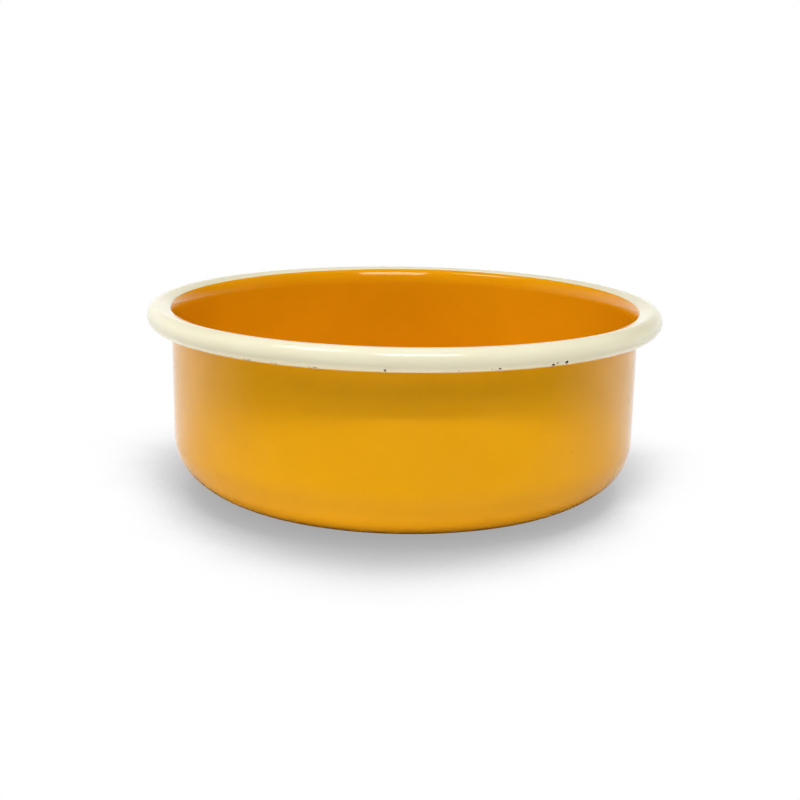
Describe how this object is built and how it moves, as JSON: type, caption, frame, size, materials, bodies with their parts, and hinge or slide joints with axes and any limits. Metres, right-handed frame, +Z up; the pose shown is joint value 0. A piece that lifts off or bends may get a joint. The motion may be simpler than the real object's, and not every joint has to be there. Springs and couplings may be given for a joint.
{
  "type": "pet bowl",
  "caption": "Low round enamelled steel bowl with straight walls, a round cove down to a level stand ring and a rolled rim, for an animal's food or water.",
  "frame": {"origin": "centre of the base, on the surface that the bowl stands on", "axes": "+Z up along the bowl's axis; the bowl is round, so +X and +Y are any two level directions at right angles"},
  "size_m": [0.18, 0.18, 0.067],
  "materials": {
    "bare_steel": "satin",
    "ground_coat": "satin",
    "yellow_enamel": "polished",
    "cream_enamel": "polished"
  },
  "bodies": {
    "root": {"steel_bowl": "bare_steel", "inner_ground_coat": "ground_coat", "outer_ground_coat": "ground_coat", "inner_enamel": "yellow_enamel", "outer_enamel": "yellow_enamel", "rim_enamel": "cream_enamel"}
  },
  "joints": []
}
